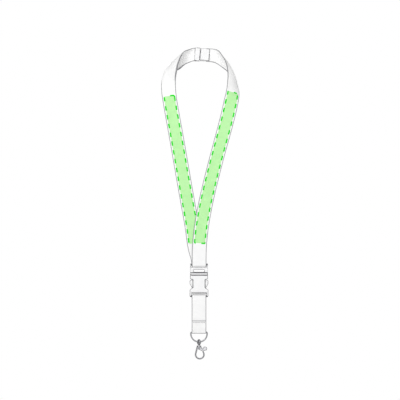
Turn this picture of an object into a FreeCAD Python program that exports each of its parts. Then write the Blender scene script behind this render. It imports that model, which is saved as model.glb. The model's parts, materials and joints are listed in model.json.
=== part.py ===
import FreeCAD, Part
import math
import os

# Lanyard badge holder: a neck loop of flat webbing with a breakaway clip at the nape, a side-release
# buckle below the crossing, a short sewn strap, a D-ring and a swivel lobster hook.
# Millimetres, +Z up, +X to the wearer's left, -Y to the front. The origin is the middle of the clip's
# inner face, where the loop rests on the nape; everything else hangs below it.

V = FreeCAD.Vector

# ------------------------------------------------------------------ webbing
WEB_W = 20.0            # width of the webbing
WEB_T = 0.8             # its thickness
LAYER_GAP = 0.45        # air between two layers that move against each other
BAR_GAP = 0.2           # air between a fold and the bar inside it
TAIL = 15.0             # length of the sewn-back tail behind the buckle
SAMPLE = 4.0            # spacing of the sections along a strap
FOLD_STEPS = 12         # sections round each half turn
NARROW = 2.0            # seams are this much narrower than the webbing
THROUGH = 20.0          # depth of anything that cuts right through the clip, buckle or hook

# ------------------------------------------------------------------ breakaway clip
CLIP_AT = V(1.6, 1.9, -0.2)     # parting line of the clip, in the middle of the webbing
CLIP_LEAN = 22.0                # the top edge leans back, as the nape does
CLIP_TURN = 3.0                 # the clip sits slightly askew
JAW_L = 7.8                     # length of the plug half
JAW_H = 19.8
JAW_T = 3.2
BOX_L = 13.0                    # length of the socket half
BOX_H = 18.2
BOX_T = 3.8
PART_GAP = 0.15                 # gap at the parting line
TONGUE_L = 6.6
TONGUE_H = 10.0
TONGUE_T = 1.6
POCKET_SPARE = 0.6              # room round the tongue, over and under
POCKET_SPARE_T = 0.35           # room before and behind the tongue
GRIP_L = 4.2                    # webbing held in each half

# ------------------------------------------------------------------ buckle
BUCKLE_Y = -35.0        # middle plane of the buckle, D-ring and hook
BAR_Z = -290.65         # webbing bar of the plug
BAR_R = 1.2
FRAME_W = 24.4          # outside width of the plug frame
POST_W = 1.6            # side posts beside the webbing
FRAME_T = 4.4
FRAME_TOP = -289.0
PLATE_TOP = -294.6      # upper edge of the cross bar under the webbing
SLOT_TOP = -297.4       # open slot under the cross bar
SLOT_END = -300.8
SLOT_W = 15.0
MOUTH_Z = -305.0        # where the plug's flange meets the socket
FLANGE_H = 3.4
FLANGE_T = 6.6
SEAT_DEPTH = 3.2        # base of the plug inside the socket's mouth
SEAT_W = 19.8
GUIDE_W = 5.6
GUIDE_END = -325.2
INNER_T = 3.6           # thickness of what slides inside the socket
KNUCKLE_X = 7.2         # root of each latch arm
KNUCKLE_Z = -306.8
KNUCKLE_R = 1.1
PIN_GAP = 0.06          # running clearance of pins and knuckles

SOCKET_W = 24.6
SOCKET_T = 7.0
SOCKET_END = -335.5
CAVITY_W = 21.0
CAVITY_T = 4.2
CAVITY_END = -326.0
WINDOW_TOP = -310.5
WINDOW_END = -323.6
SPINE_W = 16.6          # front and back plates between the two windows
SHOULDER_W = 25.6
LOW_LIP_TOP = -329.1    # the body slopes in to the lower slot from here
LOW_SLOT_TOP = -331.0
LOW_SLOT_W = 20.8
LIP_OUT = 3.3           # depth of the slope at its top, from the middle plane
LIP_IN = 1.4            # and at the slot
LOW_BAR_R = 1.3
LOW_BAR_Z = SOCKET_END + LOW_BAR_R

# ------------------------------------------------------------------ lower strap and D-ring
RING_WIRE = 2.0
RING_BAR_Z = -383.7
RING_HALF = 11.2        # middle of the wire, from the centre line
RING_CORNER = 1.6
RING_ARC_Z = -386.0     # centre of the round lower half
RING_SEAM = 0.1
INNER_END = -377.0      # hidden end of the strap
OUTER_END = -367.8      # cut end seen on the front
SEAM_Z = -370.5

# ------------------------------------------------------------------ hook
EYE_R = 2.9
EYE_WIRE_R = 1.35
EYE_TURN = 30.0         # the eye is turned a little from edge-on
EYE_GAP = 0.15
STEM_R = 1.0
HEAD_R = 1.5
HEAD_H = 0.45
COLLAR_R = 2.9          # at its top; it widens downwards
COLLAR_LOW_R = 3.5
COLLAR_TOP = -402.05
COLLAR_END = -404.05
HOOK_X = 1.05           # centre of the round part of the hook
HOOK_Z = -414.6
HOOK_R = 5.75
HOOK_W = 2.2            # section of the hook, across and deep
HOOK_T = 3.4
TIP_ANGLE = 36.0
PIVOT_X = 0.2
PIVOT_Z = -406.2
BOSS_R = 1.5
GATE_T = 1.4
GATE_SLOT = 1.8
GATE_PIN_R = 0.5
GROOVE_END = -413.4

# ------------------------------------------------------------------ print panels and thread
PRINT_W = 15.0
PRINT_T = 0.12
PRINT_GAP = 0.01        # so that the ink and the webbing share no face
PRINT_LEFT = (-58.0, -261.0)    # heights of the upper and lower ends
PRINT_RIGHT = (-53.0, -261.0)
THREAD_R = 0.22
STITCH_L = 1.5
STITCH_PITCH = 2.1

RING_LOW_Z = RING_ARC_Z - RING_HALF
EYE_Z = RING_LOW_Z + RING_WIRE / 2 + EYE_GAP - (EYE_R - EYE_WIRE_R)
FOLD_LEFT = BAR_R + BAR_GAP + WEB_T / 2
FOLD_RIGHT = FOLD_LEFT + WEB_T + LAYER_GAP
BAR_FOLD = LOW_BAR_R + BAR_GAP + WEB_T / 2
RING_FOLD = RING_WIRE / 2 + BAR_GAP + WEB_T / 2
LEFT_Y = BUCKLE_Y - FOLD_LEFT
RIGHT_Y = BUCKLE_Y - FOLD_RIGHT

# Each strap runs from the clip round the side of the neck, where it folds over softly, and down to
# the buckle. A station gives points on its outer edge (the lower edge at the nape), its middle and
# its inner edge; where the middle is left out the strap lies flat across.
LEFT_ROUTE = [
    ((-13.0, -0.5, -11.0), (-15.0, 1.5, -2.0), (-14.5, -1.5, 7.0)),
    ((-20.0, -2.0, -14.5), (-27.0, -3.5, -5.0), (-21.5, -8.0, 3.0)),
    ((-26.0, -7.0, -20.0), (-35.5, -9.5, -10.0), (-25.5, -14.5, -5.5)),
    ((-33.0, -13.0, -23.5), (-41.0, -16.0, -16.0), (-28.5, -20.0, -14.0)),
    ((-42.5, -18.5, -27.5), (-46.0, -23.5, -22.0), (-30.0, -24.5, -22.5)),
    ((-49.5, -24.5, -33.0), (-47.0, -28.5, -28.5), (-31.5, -29.0, -30.5)),
    ((-52.0, -30.5, -40.5), (-43.5, -33.0, -38.5), (-32.2, -33.5, -38.5)),
    ((-52.0, -34.5, -49.5), (-42.0, -36.0, -48.0), (-32.0, -36.5, -47.0)),
    ((-50.3, LEFT_Y, -64.0), None, (-30.6, LEFT_Y, -61.0)),
    ((-46.8, LEFT_Y, -84.5), None, (-27.2, LEFT_Y, -81.0)),
    ((-38.9, LEFT_Y, -129.0), None, (-19.2, LEFT_Y, -125.5)),
    ((-25.3, LEFT_Y, -207.0), None, (-5.6, LEFT_Y, -203.5)),
    ((-18.6, LEFT_Y, -246.5), None, (1.1, LEFT_Y, -243.0)),
    ((-13.7, LEFT_Y, -275.5), None, (6.2, LEFT_Y, -273.0)),
    ((-10.9, LEFT_Y, -285.2), None, (9.1, LEFT_Y, -284.8)),
    ((-10.1, LEFT_Y, BAR_Z), None, (9.9, LEFT_Y, BAR_Z)),
]
RIGHT_ROUTE = [
    ((22.0, 1.0, -11.5), (23.5, 3.0, -2.0), (25.0, -0.5, 6.8)),
    ((28.0, 2.0, -15.0), (31.5, -0.5, -6.5), (31.0, -7.5, 0.5)),
    ((34.5, -2.5, -20.0), (39.5, -6.5, -11.5), (34.5, -14.0, -6.0)),
    ((41.5, -8.0, -26.0), (44.5, -13.0, -18.5), (37.5, -20.0, -13.5)),
    ((47.0, -13.5, -32.0), (47.5, -20.0, -24.5), (39.0, -25.0, -21.5)),
    ((52.0, -19.0, -38.5), (49.0, -26.0, -32.5), (39.5, -30.0, -30.0)),
    ((54.0, -25.0, -45.5), (48.0, -31.5, -41.0), (39.0, -34.5, -39.0)),
    ((55.5, -31.0, -53.5), (47.0, -35.5, -50.5), (38.0, -38.0, -48.0)),
    ((54.3, -37.0, -67.0), (44.5, -38.5, -64.8), (34.7, -39.0, -62.5)),
    ((50.0, -39.0, -86.5), None, (30.4, -39.0, -81.5)),
    ((46.2, -38.8, -101.5), None, (26.6, -38.8, -96.5)),
    ((38.3, RIGHT_Y, -130.0), None, (19.0, RIGHT_Y, -125.0)),
    ((28.2, RIGHT_Y, -168.5), None, (8.9, RIGHT_Y, -163.5)),
    ((19.2, RIGHT_Y, -207.0), None, (-0.4, RIGHT_Y, -203.0)),
    ((12.6, RIGHT_Y, -245.5), None, (-7.2, RIGHT_Y, -243.0)),
    ((10.3, RIGHT_Y, -274.5), None, (-9.7, RIGHT_Y, -274.0)),
    ((10.2, RIGHT_Y, BAR_Z), None, (-9.8, RIGHT_Y, BAR_Z)),
]


# ------------------------------------------------------------------ helpers
def unit(vector):
    return V(vector).normalize()


def box(x0, x1, y0, y1, z0, z1):
    return Part.makeBox(x1 - x0, y1 - y0, z1 - z0, V(x0, y0, z0))


def centred_box(x0, x1, depth, z0, z1):
    """A box that is symmetrical about the buckle's middle plane."""
    return box(x0, x1, BUCKLE_Y - depth / 2, BUCKLE_Y + depth / 2, z0, z1)


def plate(corners, depth, middle=BUCKLE_Y):
    """An outline in X and Z with rounded corners (x, z, radius), given a depth along Y."""
    y = middle - depth / 2
    points = [V(x, y, z) for x, z, radius in corners]
    runs = []
    for i, (x, z, radius) in enumerate(corners):
        here = points[i]
        to_last = unit(points[i - 1] - here)
        to_next = unit(points[(i + 1) % len(points)] - here)
        half = to_last.getAngle(to_next) / 2
        cut = radius / math.tan(half)
        top = here + unit(to_last + to_next) * (radius / math.sin(half) - radius)
        runs.append((here + to_last * cut, top, here + to_next * cut))
    edges = []
    for i, (start, top, end) in enumerate(runs):
        if corners[i][2] > 0:
            edges.append(Part.Arc(start, top, end).toShape())
        following = runs[(i + 1) % len(runs)][0]
        if end.distanceToPoint(following) > 1e-6:
            edges.append(Part.LineSegment(end, following).toShape())
    return Part.Face(Part.Wire(edges)).extrude(V(0, depth, 0))


def mirrored(corners):
    return [(-x, z, radius) for x, z, radius in reversed(corners)]


def rod_x(radius, x0, x1, z):
    return Part.makeCylinder(radius, x1 - x0, V(x0, BUCKLE_Y, z), V(1, 0, 0))


def rod_y(radius, depth, x, z):
    return Part.makeCylinder(radius, depth, V(x, BUCKLE_Y - depth / 2, z), V(0, 1, 0))


def eased(shape, radius, pick):
    """Round the edges that pick() chooses."""
    return shape.makeFillet(radius, [edge for edge in shape.Edges if pick(edge)])


def runs_along(edge, axis):
    """True for a straight edge along axis 0, 1 or 2."""
    if edge.Curve.TypeId != "Part::GeomLine":
        return False
    return abs(abs(edge.tangentAt(edge.FirstParameter)[axis]) - 1) < 1e-6


# ------------------------------------------------------------------ webbing
def clip_rotation():
    lean = FreeCAD.Rotation(V(1, 0, 0), -CLIP_LEAN)
    return lean.multiply(FreeCAD.Rotation(V(0, 1, 0), CLIP_TURN))


def clip_point(x):
    """A point on the clip's long axis, x from the parting line."""
    return CLIP_AT + clip_rotation().multVec(V(x, 0, 0))


def clip_stations(side):
    """Where a strap is held in its half of the clip, and where it leaves it."""
    half = clip_rotation().multVec(V(0, 0, WEB_W / 2))
    length = JAW_L if side < 0 else BOX_L
    held = [clip_point(side * (length - GRIP_L)), clip_point(side * length)]
    return [(middle - half, middle, middle + half) for middle in held]


def strap_sections(side):
    """Sections from the clip to the buckle, round its bar and up the tail. A section holds its three
    points (outer, middle, inner) and the direction in which each of them runs on."""
    route = clip_stations(side)
    for outer, middle, inner in (LEFT_ROUTE if side < 0 else RIGHT_ROUTE):
        outer = V(*outer)
        inner = V(*inner)
        route.append((outer, V(*middle) if middle else (outer + inner) / 2, inner))
    at = [0.0]
    for one, two in zip(route, route[1:]):
        at.append(at[-1] + one[1].distanceToPoint(two[1]))
    lines = []
    for k in range(3):
        line = Part.BSplineCurve()
        line.interpolate(Points=[station[k] for station in route], Parameters=at)
        lines.append(line)
    sections = []
    for start, end in zip(at, at[1:]):
        steps = max(1, round((end - start) / SAMPLE))
        for i in range(steps):
            here = start + (end - start) * i / steps
            sections.append(([line.value(here) for line in lines], [line.getD1(here)[1] for line in lines]))
    sections[0] = straightened(sections[0])
    return sections + fold_sections(route[-1][1].x, FOLD_LEFT if side < 0 else FOLD_RIGHT, -side)


def flat_section(middle, across, along):
    """A section that lies flat across, WEB_W wide."""
    half = across * (WEB_W / 2)
    return [middle - half, middle, middle + half], [along, along, along]


def fold_sections(x, radius, inward):
    """Half a turn under the bar from front to back, then the tail."""
    across = V(inward, 0, 0)
    sections = []
    for i in range(FOLD_STEPS + 1):
        turn = math.pi * i / FOLD_STEPS
        out = V(0, -math.cos(turn), -math.sin(turn))
        along = V(0, math.sin(turn), -math.cos(turn))
        sections.append(flat_section(V(x, BUCKLE_Y, BAR_Z) + out * radius, across, along))
    sections.append(flat_section(V(x, BUCKLE_Y + radius, BAR_Z + TAIL), across, V(0, 0, 1)))
    return sections


def on_section(section, v):
    """The point at v (-1 outer edge, 0 middle, 1 inner edge) and the webbing's normal there."""
    (outer, middle, inner), (go_outer, go_middle, go_inner) = section
    bow = (outer + inner) / 2 - middle
    point = middle + (inner - outer) * (v / 2) + bow * (v * v)
    across = (inner - outer) / 2 + bow * (2 * v)
    along = go_middle + (go_inner - go_outer) * (v / 2) + ((go_outer + go_inner) / 2 - go_middle) * (v * v)
    return point, unit(across.cross(along))


def chord_point(section, v, cells):
    """As on_section, but on the straight chords between the corners of a strap with that many cells."""
    k = min(int((v + 1) * cells / 2), cells - 1)
    one, one_normal = on_section(section, 2 * k / cells - 1)
    two, two_normal = on_section(section, 2 * (k + 1) / cells - 1)
    part = (v + 1) * cells / 2 - k
    return one + (two - one) * part, one_normal + (two_normal - one_normal) * part


def ribbon(sections, width, thickness, lift=0.0, cells=4):
    """A band through the sections; lift raises it off the webbing's middle, along the normal."""
    edge = width / WEB_W
    stops = [-edge] + [2 * i / cells - 1 for i in range(1, cells)] + [edge]
    wires = []
    for section in sections:
        row = [chord_point(section, v, cells) for v in stops]
        ring = [point + normal * (lift - thickness / 2) for point, normal in row]
        ring += [point + normal * (lift + thickness / 2) for point, normal in reversed(row)]
        wires.append(Part.makePolygon(ring + ring[:1]))
    return Part.makeLoft(wires, True, True)


def straightened(section):
    """The same section lying flat across, as a cut end does."""
    (outer, middle, inner), (go_outer, go_middle, go_inner) = section
    return [outer, (outer + inner) / 2, inner], [go_middle] * 3


def beyond(one, two, height, onward):
    """A block past a height between two sections: below it if onward is 1, above it if -1."""
    part = (one[0][1].z - height) / (one[0][1].z - two[0][1].z)
    middle = one[0][1] + (two[0][1] - one[0][1]) * part
    across = one[0][2] - one[0][0]
    along = unit(on_section(one, 0)[1].cross(across))
    if along.dot(one[1][1]) * onward < 0:
        along = along * -1
    block = Part.makeBox(60, 60, 30, V(-30, -30, 0))
    block.Placement = FreeCAD.Placement(middle, FreeCAD.Rotation(V(0, 0, 1), along))
    return block


def neck_strap(side):
    return ribbon(strap_sections(side), WEB_W, WEB_T)


def print_panel(side):
    """Ink on the outer face of a strap's front run: a longer band, cut square at both ends."""
    top, bottom = PRINT_LEFT if side < 0 else PRINT_RIGHT
    front = [section for section in strap_sections(side)
             if section[0][1].z > BAR_Z + 1 and section[1][1].z < 0]
    first = max(i for i, section in enumerate(front) if section[0][1].z > top)
    last = max(i for i, section in enumerate(front) if section[0][1].z > bottom)
    run = front[first - 2:last + 4]
    run[0] = straightened(run[0])
    run[-1] = straightened(run[-1])
    panel = ribbon(run, PRINT_W, PRINT_T, side * ((WEB_T + PRINT_T) / 2 + PRINT_GAP))
    panel = panel.cut(beyond(front[first], front[first + 1], top, -1))
    return panel.cut(beyond(front[last], front[last + 1], bottom, 1))


# ------------------------------------------------------------------ breakaway clip
def placed_on_clip(shape):
    shape.Placement = FreeCAD.Placement(CLIP_AT, clip_rotation())
    return shape


def grip_teeth(x0, x1, slot):
    """Ridges that bite the webbing from both jaws."""
    count = 3
    teeth = []
    for i in range(count):
        x = x0 + (x1 - x0) * (i + 0.5) / count
        for face in (-1, 1):
            tip = V(x, face * WEB_T / 2, 0)
            root = face * (slot / 2 + 0.05)
            corners = [V(x - 0.3, root, 0), V(x + 0.3, root, 0), tip]
            ridge = Part.Face(Part.makePolygon(corners + corners[:1])).extrude(V(0, 0, JAW_H - 3))
            ridge.translate(V(0, 0, -(JAW_H - 3) / 2))
            teeth.append(ridge)
    return teeth


def breakaway_plug():
    slot = WEB_T + 0.2
    body = box(-JAW_L, -PART_GAP, -JAW_T / 2, JAW_T / 2, -JAW_H / 2, JAW_H / 2)
    body = eased(body, 0.9, lambda edge: runs_along(edge, 1))
    body = eased(body, 0.4, lambda edge: abs(edge.BoundBox.YLength) < 1e-6)
    inside = -JAW_L + GRIP_L + 0.1
    body = body.cut(box(-JAW_L - 1, inside, -slot / 2, slot / 2, -JAW_H, JAW_H))
    tongue = box(-1.0, TONGUE_L, -TONGUE_T / 2, TONGUE_T / 2, -TONGUE_H / 2, TONGUE_H / 2)
    tongue = tongue.makeChamfer(0.7, [edge for edge in tongue.Edges
                                      if runs_along(edge, 1) and edge.BoundBox.XMin > 1])
    slit = box(1.6, TONGUE_L + 1, -JAW_T, JAW_T, -0.7, 0.7)
    body = body.fuse(tongue).cut(slit)
    body = body.fuse(grip_teeth(-JAW_L + 0.4, inside, slot))
    return placed_on_clip(body.removeSplitter())


def breakaway_socket():
    slot = WEB_T + 0.2
    body = box(PART_GAP, BOX_L, -BOX_T / 2, BOX_T / 2, -BOX_H / 2, BOX_H / 2)
    body = eased(body, 0.9, lambda edge: runs_along(edge, 1))
    body = eased(body, 0.4, lambda edge: abs(edge.BoundBox.YLength) < 1e-6)
    high = TONGUE_H / 2 + POCKET_SPARE
    deep = TONGUE_T / 2 + POCKET_SPARE_T
    body = body.cut(box(-1, TONGUE_L + 0.8, -deep, deep, -high, high))
    inside = BOX_L - GRIP_L - 0.1
    body = body.cut(box(inside, BOX_L + 1, -slot / 2, slot / 2, -JAW_H, JAW_H))
    body = body.fuse(grip_teeth(inside, BOX_L - 0.4, slot))
    return placed_on_clip(body.removeSplitter())


# ------------------------------------------------------------------ buckle
def buckle_plug():
    half = FRAME_W / 2
    outline = [(-half, FRAME_TOP, 1.3), (half, FRAME_TOP, 1.3), (half, MOUTH_Z + 0.1, 0.3),
               (-half, MOUTH_Z + 0.1, 0.3)]
    frame = plate(outline, FRAME_T)
    frame = eased(frame, 0.5, lambda edge: abs(edge.BoundBox.YLength) < 1e-6)
    inner = half - POST_W
    frame = frame.cut(centred_box(-inner, inner, THROUGH, PLATE_TOP, 0))
    slot_r = (SLOT_TOP - SLOT_END) / 2 * 0.98
    slot_half = SLOT_W / 2
    slot = [(-slot_half, SLOT_TOP, slot_r), (slot_half, SLOT_TOP, slot_r),
            (slot_half, SLOT_END, slot_r), (-slot_half, SLOT_END, slot_r)]
    frame = frame.cut(plate(slot, THROUGH))
    flange = plate([(-half, MOUTH_Z + FLANGE_H, 0.8), (half, MOUTH_Z + FLANGE_H, 0.8),
                    (half, MOUTH_Z + 0.1, 0.3), (-half, MOUTH_Z + 0.1, 0.3)], FLANGE_T)
    above = MOUTH_Z + 1
    upper = [edge for edge in flange.Edges
             if abs(edge.BoundBox.YLength) < 1e-6 and edge.CenterOfMass.z > above]
    flange = flange.makeFillet(0.6, upper)
    bar = rod_x(BAR_R, -inner - 0.5, inner + 0.5, BAR_Z)
    seat = centred_box(-SEAT_W / 2, SEAT_W / 2, INNER_T, MOUTH_Z - SEAT_DEPTH, MOUTH_Z + 1)
    guide_half = GUIDE_W / 2
    guide = plate([(-guide_half, MOUTH_Z, 0), (guide_half, MOUTH_Z, 0),
                   (guide_half, GUIDE_END, 1.8), (-guide_half, GUIDE_END, 1.8)], INNER_T)
    plug = frame.fuse([flange, bar, seat, guide])
    low = MOUTH_Z - SEAT_DEPTH - 0.5
    for side in (-1, 1):
        x = side * KNUCKLE_X
        plug = plug.cut(rod_y(KNUCKLE_R + PIN_GAP, THROUGH, x, KNUCKLE_Z))
        mouth = [(x - 0.85, KNUCKLE_Z, 0), (x + 0.85, KNUCKLE_Z, 0), (x + 1.4, low, 0), (x - 1.4, low, 0)]
        plug = plug.cut(plate(mouth, THROUGH))
    return plug.removeSplitter()


def latch_arm(side):
    """A springy arm: a knuckle at its root, a grip that bulges through the window, a tapered tip."""
    outline = [(8.0, KNUCKLE_Z, 0), (8.0, -309.4, 0.8), (9.6, -310.9, 0.6), (12.8, -312.7, 1.6),
               (12.7, -317.2, 3.0), (9.7, -322.7, 0.5), (8.3, -322.7, 0.4), (9.0, -317.0, 4.0),
               (8.6, -312.6, 2.0), (6.5, -310.0, 0.8), (6.5, KNUCKLE_Z, 0)]
    if side < 0:
        outline = mirrored(outline)
    arm = plate(outline, INNER_T)
    arm = arm.fuse(rod_y(KNUCKLE_R, INNER_T, side * KNUCKLE_X, KNUCKLE_Z))
    return arm.removeSplitter()


def buckle_socket():
    half = SOCKET_W / 2
    spine = SPINE_W / 2
    wide = SHOULDER_W / 2
    right = [(half, MOUTH_Z - 0.1, 0.5), (half, WINDOW_TOP, 0.6), (spine, WINDOW_TOP - 0.6, 0.8),
             (spine, WINDOW_END + 1.4, 1.2), (wide, WINDOW_END - 1.6, 1.8), (wide, SOCKET_END, 2.2)]
    body = plate(right + mirrored(right), SOCKET_T)
    top = SOCKET_T / 2
    low = LOW_BAR_R + 0.7
    side_view = [(-top, MOUTH_Z, 0.5), (top, MOUTH_Z, 0.5), (top, CAVITY_END - 1, 3), (low, SOCKET_END, 1.8),
                 (-low, SOCKET_END, 1.8), (-top, CAVITY_END - 1, 3)]
    envelope = plate(side_view, 40, 0)
    envelope.rotate(V(0, 0, 0), V(0, 0, 1), 90)
    envelope.translate(V(0, BUCKLE_Y, 0))
    body = body.common(envelope)
    cavity = centred_box(-CAVITY_W / 2, CAVITY_W / 2, CAVITY_T, WINDOW_TOP - 0.5, 0)
    cavity = cavity.fuse(centred_box(-spine - 1, spine + 1, CAVITY_T, CAVITY_END, WINDOW_TOP))
    body = body.cut(cavity)
    slot_half = LOW_SLOT_W / 2
    body = body.cut(plate([(-slot_half, LOW_SLOT_TOP, 0.8), (slot_half, LOW_SLOT_TOP, 0.8),
                           (slot_half, LOW_BAR_Z, 0), (-slot_half, LOW_BAR_Z, 0)], THROUGH))
    body = body.cut(centred_box(-slot_half, slot_half, THROUGH, SOCKET_END - 5, LOW_BAR_Z + 0.01))
    for face in (-1, 1):
        slope = [V(0, face * SOCKET_T, LOW_LIP_TOP), V(0, face * LIP_OUT, LOW_LIP_TOP),
                 V(0, face * LIP_IN, LOW_SLOT_TOP), V(0, face * SOCKET_T, LOW_SLOT_TOP)]
        wedge = Part.Face(Part.makePolygon(slope + slope[:1])).extrude(V(2 * slot_half, 0, 0))
        wedge.translate(V(-slot_half, BUCKLE_Y, 0))
        body = body.cut(wedge)
    body = body.fuse(rod_x(LOW_BAR_R, -slot_half - 0.5, slot_half + 0.5, LOW_BAR_Z))
    return body.removeSplitter()


# ------------------------------------------------------------------ lower strap
def lower_strap():
    """One length of webbing: round the socket's bar and the D-ring, its ends lapped on the front."""
    across = V(1, 0, 0)
    lap = RING_FOLD + WEB_T + 0.08
    sections = [flat_section(V(0, BUCKLE_Y - RING_FOLD - 0.03, INNER_END), across, V(0, 0, 1))]
    for i in range(FOLD_STEPS + 1):
        turn = math.pi * i / FOLD_STEPS
        middle = V(0, BUCKLE_Y - BAR_FOLD * math.cos(turn), LOW_BAR_Z + BAR_FOLD * math.sin(turn))
        sections.append(flat_section(middle, across, V(0, math.sin(turn), math.cos(turn))))
    for i in range(FOLD_STEPS + 1):
        turn = math.pi * i / FOLD_STEPS
        middle = V(0, BUCKLE_Y + RING_FOLD * math.cos(turn), RING_BAR_Z - RING_FOLD * math.sin(turn))
        sections.append(flat_section(middle, across, V(0, -math.sin(turn), -math.cos(turn))))
    lean = unit(V(0, RING_FOLD - lap, INNER_END - 1.5 - RING_BAR_Z))
    corner = V(0, BUCKLE_Y - lap, INNER_END - 1.5)
    sections.append(flat_section(corner, across, unit(lean + V(0, 0, 1))))
    sections.append(flat_section(V(0, BUCKLE_Y - lap - 0.04, OUTER_END), across, V(0, 0, 1)))
    return ribbon(sections, WEB_W, WEB_T, 0.0, 1)


def stitch_row(y, face, z, width):
    """A row of half-round stitches on a face of the webbing; face is -1 in front and 1 behind."""
    count = int(width / STITCH_PITCH)
    first = -STITCH_PITCH * (count - 1) / 2 - STITCH_L / 2
    row = []
    for i in range(count):
        base = V(first + i * STITCH_PITCH, y, z)
        stitch = Part.makeCylinder(THREAD_R, STITCH_L, V(0, 0, 0), V(0, 0, 1), 180)
        stitch.rotate(V(0, 0, 0), V(0, 1, 0), 90)
        if face < 0:
            stitch.rotate(V(0, 0, 0), V(1, 0, 0), 180)
        stitch.translate(base)
        row.append(stitch)
    return row


def lower_stitching():
    front = BUCKLE_Y - (RING_FOLD + WEB_T + 0.12) - WEB_T / 2
    part = (LOW_BAR_Z - SEAM_Z) / (LOW_BAR_Z - RING_BAR_Z)
    back = BUCKLE_Y + BAR_FOLD + (RING_FOLD - BAR_FOLD) * part + WEB_T / 2 + 0.005
    width = WEB_W - NARROW
    return Part.makeCompound(stitch_row(front, -1, SEAM_Z, width) + stitch_row(back, 1, SEAM_Z, width))


def neck_stitching():
    """Two seams across the tail behind the buckle."""
    back = BUCKLE_Y + FOLD_RIGHT + WEB_T / 2
    rows = []
    for below_end in (2.5, 7.5):
        rows += stitch_row(back, 1, BAR_Z + TAIL - below_end, WEB_W - NARROW)
    return Part.makeCompound(rows)


# ------------------------------------------------------------------ D-ring
def d_ring():
    """Round wire bent to a D, with its butt seam in the straight bar."""
    def at(x, z):
        return V(x, BUCKLE_Y, z)
    diagonal = RING_CORNER * (1 - math.sqrt(0.5))
    inner = RING_HALF - RING_CORNER
    low = RING_BAR_Z - RING_CORNER
    near = RING_HALF - diagonal
    path = [
        Part.LineSegment(at(RING_SEAM / 2, RING_BAR_Z), at(inner, RING_BAR_Z)),
        Part.Arc(at(inner, RING_BAR_Z), at(near, RING_BAR_Z - diagonal), at(RING_HALF, low)),
        Part.LineSegment(at(RING_HALF, low), at(RING_HALF, RING_ARC_Z)),
        Part.Arc(at(RING_HALF, RING_ARC_Z), at(0, RING_LOW_Z), at(-RING_HALF, RING_ARC_Z)),
        Part.LineSegment(at(-RING_HALF, RING_ARC_Z), at(-RING_HALF, low)),
        Part.Arc(at(-RING_HALF, low), at(-near, RING_BAR_Z - diagonal), at(-inner, RING_BAR_Z)),
        Part.LineSegment(at(-inner, RING_BAR_Z), at(-RING_SEAM / 2, RING_BAR_Z)),
    ]
    circle = Part.Circle(at(RING_SEAM / 2, RING_BAR_Z), V(1, 0, 0), RING_WIRE / 2)
    wire = Part.Wire([piece.toShape() for piece in path])
    return wire.makePipeShell([Part.Wire(circle.toShape())], True, True)


# ------------------------------------------------------------------ hook
def swivel_eye():
    """A ring on the D-ring with a stem that turns in the hook's collar, held by its riveted head."""
    turn = math.radians(EYE_TURN)
    centre = V(0, BUCKLE_Y, EYE_Z)
    ring = Part.makeTorus(EYE_R, EYE_WIRE_R, centre, V(math.cos(turn), math.sin(turn), 0))
    top = EYE_Z - EYE_R
    head_top = COLLAR_END - PIN_GAP
    stem = Part.makeCylinder(STEM_R, top - head_top + 0.1, V(0, BUCKLE_Y, head_top - 0.1))
    neck = Part.makeCone(STEM_R, STEM_R + 0.6, 1.0, V(0, BUCKLE_Y, COLLAR_TOP + 0.12))
    head = Part.makeCylinder(HEAD_R, HEAD_H, V(0, BUCKLE_Y, head_top - HEAD_H))
    head = eased(head, 0.2, lambda edge: edge.CenterOfMass.z < head_top - HEAD_H / 2)
    return ring.fuse([stem, neck, head]).removeSplitter()


def hook_path():
    """Down the left leg, round the loop and up to the tip."""
    start = V(-2.2, BUCKLE_Y, COLLAR_END + 0.6)
    centre = V(HOOK_X, BUCKLE_Y, HOOK_Z)
    offset = start - centre
    bearing = math.atan2(offset.z, offset.x)
    touch = bearing + math.acos(HOOK_R / offset.Length)
    tip = math.radians(360 + TIP_ANGLE)

    def rim(angle):
        return centre + V(math.cos(angle), 0, math.sin(angle)) * HOOK_R
    leg = Part.LineSegment(start, rim(touch)).toShape()
    loop = Part.Arc(rim(touch), rim((touch + tip) / 2), rim(tip)).toShape()
    return Part.Wire([leg, loop]), start, rim(touch) - start, rim(tip)


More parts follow.
